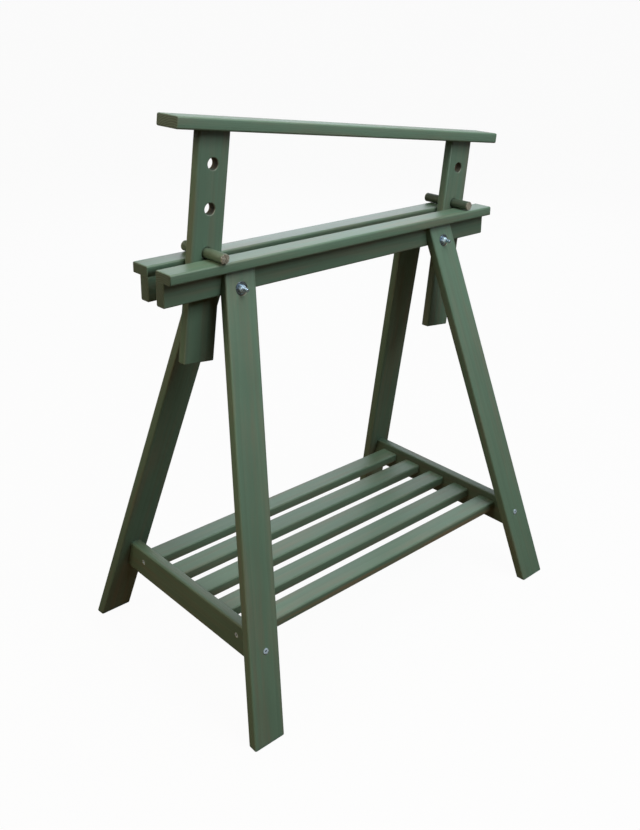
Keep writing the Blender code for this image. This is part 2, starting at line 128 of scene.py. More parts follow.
# Pegs: how far in the torn fibres reach, how often stripes, fine stripes and nicks come in a
# metre across and up the end, how much a nick narrows it for each metre of tear depth, and the
# ripples that turning leaves
TORN_LENGTH = 0.0035
TORN_STRIPES = (420, 90)
TORN_FINE = (1500, 500)
TORN_NICKS = (300, 300)
NICK_DEPTH = 312.5
RIPPLES = 17
RIPPLE_SPACING = 0.006
RIPPLE_DEPTH = 0.010

# Dowels
DOWEL_SIDES = 32
DOWEL_CHAMFER = 0.0006

# Threads: depth, and half widths at the foot and at the crest, in pitches, and how far the
# ridge goes into the core
THREAD_DEPTH = 0.61
THREAD_FOOT = 0.42
THREAD_CREST = 0.07
THREAD_ROOT = 0.0001

# Hexagons: bolt diameter over width across the flats, and how their corners are chamfered
DIAMETER_TO_FLATS = 0.6
CHAMFER_TILT = radians(62)
CHAMFER_SWINGS = (-12, 0, 12)
CHAMFER_START = 0.97

# Bolts, with a ring under the head whose radius is given in radii of the bolt
HEAD_HEIGHT = 0.004
HEAD_RING = 0.0004
HEAD_RING_RADIUS = 1.55

# Lock nuts
NUT_HEIGHT = 0.005
COLLAR_RADIUS = 0.00425
THREAD_PLAY = 0.0003

# Screws, with a crossed recess that is widened to a cone in the middle
SCREW_HEAD_RADIUS = 0.0045
SCREW_HEAD_HEIGHT = 0.0029
SCREW_RADIUS = 0.0020
SCREW_CORE_RADIUS = 0.0015
SCREW_SHANK_LENGTH = 0.012
SCREW_TIP_LENGTH = 0.005
RECESS_ARMS = ((0.0048, 0.0011), (0.0011, 0.0048))
RECESS_HEIGHT = 0.0034
RECESS_TAPER = 0.55
RECESS_CONE = ((0, 0.0008), (0.0018, 0.0008), (0.0007, -0.0024), (0, -0.0027))
RECESS_RADIUS = 0.0028

# Stage, with the camera's yaw, pitch and roll in degrees
FLOOR_RADIUS = 400.0
FLOOR_DROP = 0.0002
LIGHTS_AIM = Vector((0, 0, 0.6))
CAMERA_PLACE = (-1.0600, -1.1278, 1.0737)
CAMERA_TURN = (43.696, 19.101, 1.174)
CAMERA_SHIFT = (-0.03154, -0.11766)


class TrestlePaint(bpy.types.PropertyGroup):
    """The finish of the boards."""

    colour: FloatVectorProperty(
        name="Paint",
        description="Colour of the paint on the boards",
        default=(0.114, 0.195, 0.138),
        subtype="COLOR",
        min=0.0,
        max=1.0,
    )
    warm_colour: FloatVectorProperty(
        name="Warm streaks",
        description="Colour of the streaks where the wood shows through the paint",
        default=(0.148, 0.180, 0.128),
        subtype="COLOR",
        min=0.0,
        max=1.0,
    )
    worn_colour: FloatVectorProperty(
        name="Worn edges",
        description="Colour along the arrises, where the paint is thin",
        default=(0.230, 0.270, 0.200),
        subtype="COLOR",
        min=0.0,
        max=1.0,
    )
    # The brown along the lower halves of the front slat's long sides
    slat_edge_colour: FloatVectorProperty(
        name="Thin paint",
        description="Colour of the front slat's edges, where the brown wood shows through",
        default=(0.240, 0.170, 0.095),
        subtype="COLOR",
        min=0.0,
        max=1.0,
    )
    end_colour: FloatVectorProperty(
        name="Board ends",
        description="Colour of the paint that has sunk into the sawn ends",
        default=(0.074, 0.104, 0.082),
        subtype="COLOR",
        min=0.0,
        max=1.0,
    )
    roughness: FloatProperty(
        name="Roughness",
        description="How dull the paint is",
        default=0.46,
        subtype="FACTOR",
        min=0.0,
        max=1.0,
    )
    grain_depth: FloatProperty(
        name="Grain depth",
        description="How far the grain stands out under the paint",
        default=0.00014,
        unit="LENGTH",
        min=0.0,
        max=0.001,
        precision=5,
    )
    wear_width: FloatProperty(
        name="Wear width",
        description="How far the worn band reaches in from an arris",
        default=0.0026,
        unit="LENGTH",
        min=0.0,
        max=0.01,
        precision=4,
    )
    rim_colour: FloatVectorProperty(
        name="Hole rims",
        description="Colour of the bare wood round the rims of the peg holes",
        default=(0.420, 0.400, 0.330),
        subtype="COLOR",
        min=0.0,
        max=1.0,
    )
    # Inside the peg holes: brown wood, painted dark as the shade in the holes
    bore_shade_colour: FloatVectorProperty(
        name="Peg holes",
        description="Colour of the wood inside the peg holes",
        default=(0.085, 0.070, 0.048),
        subtype="COLOR",
        min=0.0,
        max=1.0,
    )
    rim_rounding: FloatProperty(
        name="Rim rounding",
        description="Rounding of the rims of the peg holes",
        default=0.0012,
        unit="LENGTH",
        min=0.0001,
        max=0.003,
        precision=4,
    )


class TrestlePegs(bpy.types.PropertyGroup):
    """The finish and shape of the loose pegs and of the hidden dowels."""

    colour: FloatVectorProperty(
        name="Peg paint",
        description="Colour of the thin paint along the pegs",
        default=(0.098, 0.142, 0.100),
        subtype="COLOR",
        min=0.0,
        max=1.0,
    )
    end_colour: FloatVectorProperty(
        name="Peg ends",
        description="Colour of the bare sawn ends",
        default=(0.345, 0.320, 0.265),
        subtype="COLOR",
        min=0.0,
        max=1.0,
    )
    dowel_colour: FloatVectorProperty(
        name="Dowels",
        description="Colour of the bare dowels in the joints",
        default=(0.560, 0.400, 0.240),
        subtype="COLOR",
        min=0.0,
        max=1.0,
    )
    tear_depth: FloatProperty(
        name="Tear depth",
        description="How deep the fibres are torn out at the sawn ends",
        default=0.0016,
        unit="LENGTH",
        min=0.0,
        max=0.004,
        precision=4,
    )
    end_chamfer: FloatProperty(
        name="End chamfer",
        description="Chamfer round a peg's sawn ends",
        default=0.0009,
        unit="LENGTH",
        min=0.0002,
        max=0.003,
        precision=4,
    )
    flute_depth: FloatProperty(
        name="Flute depth",
        description="Depth of the glue flutes along a dowel",
        default=0.00035,
        unit="LENGTH",
        min=0.0,
        max=0.001,
        precision=5,
    )


class TrestleFastenings(bpy.types.PropertyGroup):
    """The finish and shape of bolts, nuts, washers, sleeves and screws."""

    colour: FloatVectorProperty(
        name="Zinc",
        description="Colour of the zinc plating",
        default=(0.640, 0.810, 1.000),
        subtype="COLOR",
        min=0.0,
        max=1.0,
    )
    # Painted shade: the near-black colour of the screws' recesses
    shadow_colour: FloatVectorProperty(
        name="Recess",
        description="Colour of the dirt in the screws' recesses",
        default=(0.012, 0.018, 0.040),
        subtype="COLOR",
        min=0.0,
        max=1.0,
    )
    roughness: FloatProperty(
        name="Roughness",
        description="How dull the plating is",
        default=0.20,
        subtype="FACTOR",
        min=0.0,
        max=1.0,
    )
    bolt_pitch: FloatProperty(
        name="Bolt pitch",
        description="Distance between the turns of the bolts' thread",
        default=0.001,
        unit="LENGTH",
        min=0.0005,
        max=0.003,
        precision=4,
    )
    screw_pitch: FloatProperty(
        name="Screw pitch",
        description="Distance between the turns of the wood screws' thread",
        default=0.0019,
        unit="LENGTH",
        min=0.001,
        max=0.004,
        precision=4,
    )
    bolt_diameter: FloatProperty(
        name="Bolt diameter",
        description="Diameter over the bolts' thread",
        default=0.006,
        unit="LENGTH",
        min=0.004,
        max=0.0062,
        precision=4,
    )
    threaded_length: FloatProperty(
        name="Threaded length",
        description="Length of the bolts' thread from their front end",
        default=0.024,
        unit="LENGTH",
        min=0.01,
        max=0.08,
        precision=3,
    )
    edge_rounding: FloatProperty(
        name="Edge rounding",
        description="Rounding along the edges of washers and sleeves",
        default=0.0003,
        unit="LENGTH",
        min=0.0001,
        max=0.0006,
        precision=5,
    )


class TrestleStage(bpy.types.PropertyGroup):
    """The floor, light and camera."""

    floor_colour: FloatVectorProperty(
        name="Floor",
        description="Colour of the floor and the backdrop",
        default=(0.9646, 0.9646, 0.9646),
        subtype="COLOR",
        min=0.0,
        max=1.0,
    )
    key: FloatProperty(
        name="Key light",
        description="Power of the large panel high in front",
        default=43.5,
        unit="POWER",
        min=0.0,
        max=500.0,
    )
    overhead: FloatProperty(
        name="Overhead light",
        description="Power of the panel above the bar",
        default=10.3,
        unit="POWER",
        min=0.0,
        max=500.0,
    )
    front_right: FloatProperty(
        name="Right light",
        description="Power of the low panel at the front right",
        default=3.6,
        unit="POWER",
        min=0.0,
        max=500.0,
    )
    left: FloatProperty(
        name="Left light",
        description="Power of the warm panel high at the left",
        default=18.6,
        unit="POWER",
        min=0.0,
        max=500.0,
    )
    rear: FloatProperty(
        name="Rear light",
        description="Power of the two panels at the rear that the top faces reflect",
        default=38.5,
        unit="POWER",
        min=0.0,
        max=500.0,
    )
    bounce: FloatProperty(
        name="Bounce light",
        description="Power of the warm light that comes up from the floor",
        default=3.9,
        unit="POWER",
        min=0.0,
        max=500.0,
    )
    glint: FloatProperty(
        name="Glint",
        description="Power of the small panel that glints in the fastenings",
        default=2.0,
        unit="POWER",
        min=0.0,
        max=100.0,
    )
    surroundings: FloatProperty(
        name="Surroundings",
        description="Strength of the light from all round",
        default=0.020,
        min=0.0,
        max=5.0,
    )
    sheen: FloatProperty(
        name="Sheen",
        description="Strength of the pale room that the fastenings and the paint reflect",
        default=0.10,
        min=0.0,
        max=5.0,
    )
    focal_length: FloatProperty(
        name="Focal length",
        description="Focal length of the camera",
        default=41.6255,
        unit="CAMERA",
        min=10.0,
        max=200.0,
    )


GROUPS = {
    "trestle_paint": TrestlePaint,
    "trestle_pegs": TrestlePegs,
    "trestle_fastenings": TrestleFastenings,
    "trestle_stage": TrestleStage,
}


class Signal:
    """What comes out of a shader socket, for use in sums."""

    def __init__(self, finish, output):
        self.finish = finish
        self.output = output

    def at(self, output):
        """Another output of the same node."""
        return Signal(self.finish, self.output.node.outputs[output])

    def put(self, operation, *values):
        """A Math node."""
        return self.finish.node(
            "ShaderNodeMath", {"operation": operation}, dict(enumerate(values))
        )

    def __add__(self, other):
        return self.put("ADD", self, other)

    __radd__ = __add__

    def __sub__(self, other):
        return self.put("SUBTRACT", self, other)

    def __rsub__(self, other):
        return self.put("SUBTRACT", other, self)

    def __mul__(self, other):
        return self.put("MULTIPLY", self, other)

    __rmul__ = __mul__

    def __abs__(self):
        return self.put("ABSOLUTE", self)

    def least(self, other):
        """The smaller of two values."""
        return self.put("MINIMUM", self, other)

    def most(self, other):
        """The larger of two values."""
        return self.put("MAXIMUM", self, other)


class Finish:
    """The look of a surface or of the surroundings, built node by node."""

    def __init__(self, owner):
        owner.use_nodes = True
        self.owner = owner
        self.tree = owner.node_tree
        self.tree.nodes.clear()

    def node(self, kind, settings=None, inputs=None, output=0):
        """Adds a node: its settings, then the values or links of its sockets."""
        made = self.tree.nodes.new(kind)
        for key, value in (settings or {}).items():
            setattr(made, key, value)
        for key, value in (inputs or {}).items():
            if isinstance(value, Signal):
                self.tree.links.new(value.output, made.inputs[key])
            else:
                made.inputs[key].default_value = value
        return Signal(self, made.outputs[output]) if made.outputs else None

    def axes(self, vector):
        """A vector's three parts."""
        parts = self.node("ShaderNodeSeparateXYZ", {}, {"Vector": vector})
        return parts, parts.at("Y"), parts.at("Z")

    def mapped(self, kind, vector, **inputs):
        """A vector that is moved, turned or stretched."""
        return self.node("ShaderNodeMapping", {"vector_type": kind}, {"Vector": vector, **inputs})

    def noise(self, vector, scale, shift, detail=3.0, roughness=0.55):
        """Noise that is stretched by its scale along each axis."""
        stretched = self.mapped("POINT", vector, Location=shift, Scale=scale)
        return self.node(
            "ShaderNodeTexNoise",
            {},
            {"Vector": stretched, "Scale": 1.0, "Detail": detail, "Roughness": roughness},
        )

    def ramp(self, value, low, high, bottom=0.0, top=1.0):
        """A smooth step between two values."""
        return self.node(
            "ShaderNodeMapRange",
            {"interpolation_type": "SMOOTHSTEP"},
            {"Value": value, "From Min": low, "From Max": high, "To Min": bottom, "To Max": top},
        )

    def mix(self, factor, first, second):
        """A mixture of two colours."""
        return self.node(
            "ShaderNodeMix", {"data_type": "RGBA"}, {0: factor, 6: first, 7: second}, output=2
        )

    def shades(self, factor, colour, dark, light):
        """A colour that is darker in some places and lighter in others."""
        return self.mix(factor, scaled(colour, dark), scaled(colour, light))

    def done(self, colour, roughness, height, depth, extras=None):
        """Ends a material in its shader."""
        bump = self.node(
            "ShaderNodeBump", {}, {"Strength": 1.0, "Distance": depth, "Height": height}
        )
        inputs = {"Base Color": colour, "Roughness": roughness, "Normal": bump, **(extras or {})}
        shader = self.node("ShaderNodeBsdfPrincipled", {}, inputs)
        self.node("ShaderNodeOutputMaterial", {"target": "ALL"}, {"Surface": shader})
        return self.owner


def new_finish(name):
    """A material that is still empty."""
    return Finish(bpy.data.materials.new(name))


def opaque(colour):
    """A colour with full alpha."""
    return (*colour, 1.0)


def scaled(colour, factor):
    """A lighter or darker colour."""
    return (*(part * factor for part in colour), 1.0)


def grain_frame(node):
    """A board's middle, turn and half sizes. X runs along it and Z through its thickness."""
    mesh = frame["nodes"][node].data
    mostly_up = Vector((0.1, 0.2, 1.0))
    areas = {}
    for face in mesh.polygons:
        normal = face.normal
        if normal.dot(mostly_up) < 0:
            normal = -normal
        key = tuple(round(part, 2) for part in normal)
        area, total = areas.get(key, (0.0, Vector((0, 0, 0))))
        areas[key] = (area + face.area, total + normal * face.area)
    wide = max(areas.values(), key=lambda item: item[0])[1].normalized()
    sides = [item for item in areas.values() if abs(item[1].normalized().dot(wide)) < 0.1]
    side = max(sides, key=lambda item: item[0])[1].normalized()
    along = side.cross(wide).normalized()
    turn = Matrix((along, wide.cross(along), wide)).transposed()
    points = [turn.transposed() @ vertex.co for vertex in mesh.vertices]
    low = Vector([min(point[axis] for point in points) for axis in range(3)])
    high = Vector([max(point[axis] for point in points) for axis in range(3)])
    return turn @ ((low + high) / 2), turn.to_euler("XYZ"), (high - low) / 2


def painted_wood(node, paint, seed, footed):
    """Semi-matt paint over softwood, with its grain along the board."""
    middle, turn, half = grain_frame(node)
    chance = Random(seed)
    finish = new_finish("painted " + node)
    point = finish.node("ShaderNodeTexCoord", output="Object")
    board = finish.mapped("TEXTURE", point, Location=middle, Rotation=turn)
    facing = finish.mapped("TEXTURE", point.at("Normal"), Rotation=turn)
    along, across, through = finish.axes(board)
    shift = [chance.uniform(-50, 50) for _ in range(3)]

    # Growth rings about a pith below the board, and the finer marks
    pith = (0.0, chance.uniform(-0.02, 0.02), chance.uniform(0.03, 0.07))
    rings_at = finish.mapped("POINT", board, Location=pith, Scale=(0.05, 1.0, 1.0))
    rings = finish.node(
        "ShaderNodeTexWave",
        {"wave_type": "RINGS", "rings_direction": "X", "wave_profile": "SAW"},
        {"Vector": rings_at, "Scale": 95.0, "Distortion": 3.0, "Detail": 2.0, "Detail Scale": 0.7},
        output="Fac",
    )
    fibres = finish.noise(board, MARKS["fibres"], shift, detail=5.0, roughness=0.65)
    strokes = finish.noise(board, MARKS["strokes"], shift, detail=2.0)
    patches = finish.noise(board, MARKS["patches"], shift)
    streaks = finish.noise(board, MARKS["streaks"], shift[::-1])
    specks = finish.noise(board, MARKS["specks"], shift, detail=2.0)

    # Distance to the nearest arris: the middle one of the distances to the three pairs of faces
    if footed:
        to_end = finish.axes(point)[2]
    else:
        to_end = half.x - abs(along)
    to_side = half.y - abs(across)
    to_face = half.z - abs(through)
    nearest = to_end.least(to_side).most(to_end.most(to_side).least(to_face))
    reach = finish.ramp(patches + 0.6 * fibres, 0.45, 1.15, 0.25, 1.0)
    edge = finish.ramp(nearest, paint.wear_width, 0.0002) * reach
    end = finish.ramp(abs(finish.axes(facing)[0]), 0.75, 0.9)

    # What lies below a face and away from the arrises is a peg hole
    inside = finish.ramp(to_end.least(to_side), 0.004, 0.006)
    bore = inside * finish.ramp(to_face, 0.0012, 0.0022)
    rim = inside * finish.ramp(to_face, 0.0001, 0.0006)

    # A board's random tone times its entry in the table of tones, which is partly painted light
    # and shade
    tone = chance.uniform(0.97, 1.03) * TONES_AND_PAINTED_LIGHT.get(node, 1.0)
    figure = 0.55 * patches + 0.27 * fibres + 0.18 * rings
    depth = finish.ramp(figure, 0.30, 0.70)
    cool = finish.shades(depth, paint.colour, 0.92 * tone, 1.08 * tone)
    warm = finish.shades(depth, paint.warm_colour, 0.92 * tone, 1.08 * tone)
    colour = finish.mix(finish.ramp(0.8 * streaks + 0.2 * fibres, 0.42, 0.70), cool, warm)
    colour = finish.mix(0.22 * edge, colour, opaque(paint.worn_colour))
    if node == "slat_5":
        # The front slat is browner in streaks along the lower halves of its long sides
        low = finish.ramp(through, 0.0035, -0.0005)
        thin = finish.ramp(to_side, 0.0012, 0.0003) * low * finish.ramp(streaks, 0.30, 0.58)
        colour = finish.mix(0.6 * thin, colour, opaque(paint.slat_edge_colour))
    colour = finish.mix(0.6 * rim, colour, opaque(paint.rim_colour))
    # Painted shade: inside a peg hole the wood is coloured far darker than the bare wood at its
    # rim, for the shade in the hole
    colour = finish.mix(0.9 * bore, colour, opaque(paint.bore_shade_colour))
    sawn = finish.ramp(rings + 0.5 * specks, 0.35, 1.15)
    sawn = finish.shades(sawn, paint.end_colour, 0.60, 1.35)
    colour = finish.mix(0.8 * end, colour, sawn)

    roughness = paint.roughness + DULLNESS.get(node, 0.0)
    roughness = roughness + 0.10 * (patches - 0.5) + 0.08 * (strokes - 0.5)
    roughness = roughness + 0.16 * end + 0.30 * bore
    height = 0.40 * fibres + 0.25 * rings + 0.20 * strokes + 0.15 * specks
    height = height + end * (0.8 * specks + 0.4 * rings)
    return finish.done(colour, roughness, height, paint.grain_depth)


def peg_wood(node, pegs, seed):
    """Thin paint along a turned peg, with bare sawn ends."""
    low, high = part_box(node)
    # The peg's entry in the table of tones, which is partly painted light and shade
    tone = TONES_AND_PAINTED_LIGHT.get(node, 1.0)
    chance = Random(seed)
    finish = new_finish("painted " + node)
    point = finish.node("ShaderNodeTexCoord", output="Object")
    peg = finish.mapped("TEXTURE", point, Location=(low + high) / 2)
    along = finish.axes(peg)[1]
    facing = finish.axes(point.at("Normal"))[1]
    shift = [chance.uniform(-50, 50) for _ in range(3)]
    fibres = finish.noise(peg, PEG_MARKS["fibres"], shift, detail=5.0, roughness=0.7)
    patches = finish.noise(peg, PEG_MARKS["patches"], shift, detail=4.0, roughness=0.6)
    specks = finish.noise(peg, PEG_MARKS["specks"], shift, detail=2.0)
    pith = (0.006, 0.0, 0.004)
    rings_at = finish.mapped("POINT", peg, Location=pith, Scale=(1.0, 0.05, 1.0))
    rings = finish.node(
        "ShaderNodeTexWave",
        {"wave_type": "RINGS", "rings_direction": "Y", "wave_profile": "SAW"},
        {"Vector": rings_at, "Scale": 190.0, "Distortion": 2.0, "Detail": 2.0},
        output="Fac",
    )
    stripes = finish.noise(peg, PEG_MARKS["stripes"], shift[::-1])
    end = finish.ramp(abs(facing), 0.60, 0.85)
    rim = finish.ramp((high.y - low.y) / 2 - abs(along), 0.0045, 0.0004)
    bare = finish.ramp(patches + 0.5 * fibres + 0.35 * rim, 0.90, 1.16)
    wood = finish.ramp(0.6 * stripes + 0.4 * rings, 0.25, 0.72)
    wood = finish.shades(wood, pegs.end_colour, 0.55, 1.30)
    paint = finish.ramp(0.6 * patches + 0.4 * fibres, 0.35, 0.65)
    paint = finish.shades(paint, pegs.colour, 0.75 * tone, 1.3 * tone)
    colour = finish.mix((0.7 * bare).most(end), paint, wood)
    roughness = 0.52 + 0.2 * (fibres - 0.5) + 0.2 * end
    height = 0.6 * fibres + 0.2 * specks + end * (0.9 * specks + 0.6 * rings)
    return finish.done(colour, roughness, height, depth=0.0003)


def dowel_wood(pegs):
    """Bare hardwood."""
    finish = new_finish("bare dowel wood")
    point = finish.node("ShaderNodeTexCoord", output="Object")
    fibres = finish.noise(point, (300.0, 300.0, 300.0), (1.0, 2.0, 3.0), detail=5.0, roughness=0.7)
    patches = finish.noise(point, (30.0, 30.0, 30.0), (4.0, 5.0, 6.0))
    grain = finish.ramp(0.5 * fibres + 0.5 * patches, 0.3, 0.7)
    colour = finish.shades(grain, pegs.dowel_colour, 0.75, 1.15)
    return finish.done(colour, 0.6 + 0.2 * (fibres - 0.5), fibres, depth=0.0002)


def zinc_plate(fastenings, metallic, painted_reflection=1.0, head=None):
    """Bright zinc plating, a little clouded. It is whiter where it is less metallic, and its
    colour is scaled lighter or darker as a painted reflection.

    A screw's head is given by the middle of its top and its turn. Its recess is painted nearly
    black as painted shade.
    """
    finish = new_finish("zinc plating")
    point = finish.node("ShaderNodeTexCoord", output="Object")
    clouds = finish.noise(point, (260.0, 260.0, 260.0), (3.0, 1.0, 2.0), detail=4.0)
    scratches = finish.noise(point, (2500.0, 500.0, 2500.0), (7.0, 8.0, 9.0))
    colour = finish.ramp(clouds, 0.35, 0.68)
    # Painted reflection: the zinc's colour is scaled by how bright this kind of fastening's
    # reflections look
    colour = finish.shades(colour, fastenings.colour, 0.78 * painted_reflection, 1.15 * painted_reflection)
    if head:
        at_head = finish.mapped("TEXTURE", point, Location=head[0], Rotation=head[1])
        across, upwards, above = finish.axes(at_head)
        off_axis = across * across + upwards * upwards
        inside = finish.ramp(off_axis, RECESS_RADIUS**2, (RECESS_RADIUS - 0.0005) ** 2)
        # Painted shade: below the head's top, the recess is coloured nearly black for the shade in
        # it
        shadow = finish.ramp(above, -0.0003, -0.0008) * inside
        colour = finish.mix(0.95 * shadow, colour, opaque(fastenings.shadow_colour))
    roughness = fastenings.roughness + 0.22 * (clouds - 0.5) + 0.12 * (scratches - 0.5)
    height = 0.5 * scratches + 0.5 * clouds
    return finish.done(colour, roughness, height, 0.00004, {"Metallic": metallic})


def facing_matrix(point, direction):
    """The matrix that puts local +Z along a direction, at a point."""
    return Matrix.Translation(point) @ direction.to_track_quat("Z", "Y").to_matrix().to_4x4()


def turned(profile, sides, closed=False):
    """A shape spun about local Z from a profile of (radius, height)."""
    shape = bmesh.new()
    points = [shape.verts.new((radius, 0, height)) for radius, height in profile]
    edges = [shape.edges.new(pair) for pair in zip(points, points[1:])]
    if closed:
        edges.append(shape.edges.new((points[-1], points[0])))
    bmesh.ops.spin(
        shape,
        geom=points + edges,
        axis=(0, 0, 1),
        cent=(0, 0, 0),
        angle=2 * pi,
        steps=sides,
        use_merge=True,
    )
    bmesh.ops.remove_doubles(shape, verts=shape.verts, dist=1e-6)
    bmesh.ops.recalc_face_normals(shape, faces=shape.faces)
    return shape


def thread(core, crest, pitch, low, high, sides):
    """A ridge that winds about local Z, from one height to another."""
    shape = bmesh.new()
    half = THREAD_FOOT * pitch
    flat = THREAD_CREST * pitch
    root = core - THREAD_ROOT
    profile = ((root, -half), (crest, -flat), (crest, flat), (root, half))
    points = [shape.verts.new((radius, 0, low + height)) for radius, height in profile]
    edges = [shape.edges.new((points[n - 1], points[n])) for n in range(4)]
    turns = int((high - low) / pitch)
    bmesh.ops.spin(
        shape,
        geom=points + edges,
        axis=(0, 0, 1),
        cent=(0, 0, 0),
        dvec=(0, 0, pitch / sides),
        angle=2 * pi * turns,
        steps=sides * turns,
    )
    bmesh.ops.holes_fill(shape, edges=[edge for edge in shape.edges if edge.is_boundary])
    bmesh.ops.recalc_face_normals(shape, faces=shape.faces)
    return shape


def prism(sides, radius, height):
    """A prism about local Z."""
    shape = bmesh.new()
    bmesh.ops.create_cone(
        shape, cap_ends=True, segments=sides, radius1=radius, radius2=radius, depth=height
    )
    return shape


def hexagon(flats, height, chamfered_ends):
    """A hexagonal block about local Z, with its corners chamfered at the given ends."""
    shape = prism(6, flats / 2 / cos(pi / 6), height)
    bmesh.ops.rotate(shape, verts=shape.verts, matrix=Matrix.Rotation(pi / 6, 3, "Z"))
    corners = [Vector(vertex.co.xy) for vertex in shape.verts if vertex.co.z > 0]
    for corner in corners:
        for swing in CHAMFER_SWINGS:
            outwards = Vector((corner.x, corner.y, 0)).normalized()
            outwards.rotate(Matrix.Rotation(radians(swing), 3, "Z"))
            for end in chamfered_ends:
                normal = outwards * cos(CHAMFER_TILT) + end * UPWARDS * sin(CHAMFER_TILT)
                point = outwards * (flats / 2 * CHAMFER_START) + end * UPWARDS * height / 2
                everything = shape.verts[:] + shape.edges[:] + shape.faces[:]
                bmesh.ops.bisect_plane(
                    shape, geom=everything, plane_co=point, plane_no=normal, clear_outer=True
                )
                rim = [edge for edge in shape.edges if edge.is_boundary]
                bmesh.ops.holes_fill(shape, edges=rim)
    bmesh.ops.recalc_face_normals(shape, faces=shape.faces)
    return shape


def joined(shapes):
    """One shape from several."""
    whole = bmesh.new()
    for shape in shapes:
        part = bpy.data.meshes.new("part")
        shape.to_mesh(part)
        shape.free()
        whole.from_mesh(part)
        bpy.data.meshes.remove(part)
    return whole


def as_object(name, shape, matrix=None):
    """An object from a shape, with its place in its mesh."""
    if matrix:
        bmesh.ops.transform(shape, matrix=matrix, verts=shape.verts)
    mesh = bpy.data.meshes.new(name)
    shape.to_mesh(mesh)
    shape.free()
    made = bpy.data.objects.new(name, mesh)
    bpy.context.scene.collection.objects.link(made)
    return made


def without(name, shape, cutters):
    """A shape that other shapes are cut out of."""
    body = as_object(name, shape)
    for number, cutter in enumerate(cutters):
        tool = as_object(f"{name}_cutter_{number}", cutter)
        change = body.modifiers.new("cut", "BOOLEAN")
        change.operation = "DIFFERENCE"
        change.solver = "EXACT"
        change.object = tool
    view = bpy.context.evaluated_depsgraph_get()
    cut = bmesh.new()
    cut.from_mesh(body.evaluated_get(view).to_mesh())
    for number in range(len(cutters)):
        bpy.data.objects.remove(bpy.data.objects[f"{name}_cutter_{number}"])
    bpy.data.objects.remove(body)
    return cut


def dress(prefix, shape, surface, node, matrix=None, angle=35):
    """A finished piece that stands for a node of the frame and moves with it."""
    piece = as_object(f"{prefix}_{node}", shape, matrix)
    piece.data.materials.clear()
    piece.data.materials.append(surface)
    piece.data.shade_smooth()
    piece.data.set_sharp_from_angle(angle=radians(angle))
    even = piece.modifiers.new("even shading", "WEIGHTED_NORMAL")
    even.keep_sharp = True
    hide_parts(node)
    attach(piece, frame["nodes"][node]["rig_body"])
    return piece


def middle_of(node):
    """The middle of a node."""
    low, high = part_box(node)
    return (low + high) / 2


def length_of(node, direction):
    """A node's length in a direction."""
    places = [vertex.co.dot(direction) for vertex in frame["nodes"][node].data.vertices]
    return max(places) - min(places)


def merged_copy(node):
    """A node's shape with its triangles joined."""
    shape = bmesh.new()
    shape.from_mesh(frame["nodes"][node].data)
    bmesh.ops.remove_doubles(shape, verts=shape.verts, dist=1e-6)
    return shape


def paint_boards(group, paint, first_seed):
    """Paints a group of boards."""
    for number, node in enumerate(BOARDS[group]):
        surface = painted_wood(node, paint, first_seed + number, footed=group == "legs")
        shape = merged_copy(node)
        if node.startswith("post"):
            shape = without(node, shape, [rim_cutter(hole, paint) for hole in peg_holes(node)])
        else:
            flat = radians(0.3)
            bmesh.ops.dissolve_limit(shape, angle_limit=flat, verts=shape.verts, edges=shape.edges)
        dress("painted", shape, surface, node, angle=50)


def peg_holes(post):
    """The centres of a post's three holes. Its peg rests on the bottom of one of them."""
    side = post.replace("post_", "")
    up = Vector(frame["record"]["mounts"][0]["axis"])
    holes_below = {"left": 0, "right": 1}[side]
    peg = middle_of("peg_" + side)
    centre = Vector((peg.x, 0, peg.z)) - up * HOLE_SAG
    return [centre + up * HOLE_SPACING * (number - holes_below) for number in range(3)]


def rim_cutter(centre, paint):
    """A cutter that smooths a peg hole and rounds both its rims."""
    low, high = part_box("post_left")
    face = (high.y - low.y) / 2
    over = 0.002
    half = [(HOLE_RADIUS + paint.rim_rounding, face + over)]
    for turn in (0, 30, 60, 90):
        radius = HOLE_RADIUS + paint.rim_rounding * (1 - sin(radians(turn)))
        half.append((radius, face - paint.rim_rounding * (1 - cos(radians(turn)))))
    profile = [(0, face + over), *half]
    profile += [(radius, -height) for radius, height in reversed(profile)]
    shape = turned(profile, 64)
    bmesh.ops.transform(shape, matrix=facing_matrix(centre, FORWARDS), verts=shape.verts)
    return shape


def tear(shape, reach, depth, seed):
    """Torn fibres at a peg's front end: uneven stripes that are pressed in along the peg."""
    marks = ((TORN_STRIPES, 0), (TORN_FINE, 9), (TORN_NICKS, 5))
    for vertex in shape.verts:
        fade = 1 - (reach - vertex.co.z) / TORN_LENGTH
        if fade < 0:
            continue
        stripes, fine, nick = (
            noise.noise(Vector((vertex.co.x * across, vertex.co.y * up, seed + further)))
            for (across, up), further in marks
        )
        vertex.co.z -= depth * fade * min(1.0, abs(1.5 * stripes + 0.4 * fine))
        vertex.co.xy = vertex.co.xy * (1 - NICK_DEPTH * depth * fade * max(0.0, nick))
    bmesh.ops.recalc_face_normals(shape, faces=shape.faces)


class TRESTLE_OT_rails(bpy.types.Operator):
    """Paint the caps and webs of the two rails"""

    bl_idname = "trestle.rails"
    bl_label = "Rails"

    def execute(self, context):
        paint_boards("rails", context.scene.trestle_paint, first_seed=11)
        return {"FINISHED"}


class TRESTLE_OT_legs(bpy.types.Operator):
    """Paint the four legs"""

    bl_idname = "trestle.legs"
    bl_label = "Legs"

    def execute(self, context):
        paint_boards("legs", context.scene.trestle_paint, first_seed=21)
        return {"FINISHED"}


class TRESTLE_OT_shelf(bpy.types.Operator):
    """Paint the shelf's end rails and slats"""

    bl_idname = "trestle.shelf"
    bl_label = "Shelf"

    def execute(self, context):
        paint_boards("shelf", context.scene.trestle_paint, first_seed=31)
        return {"FINISHED"}


class TRESTLE_OT_top_frame(bpy.types.Operator):
    """Paint the top bar and its posts"""

    bl_idname = "trestle.top_frame"
    bl_label = "Top Frame"

    def execute(self, context):
        paint_boards("top_frame", context.scene.trestle_paint, first_seed=41)
        return {"FINISHED"}


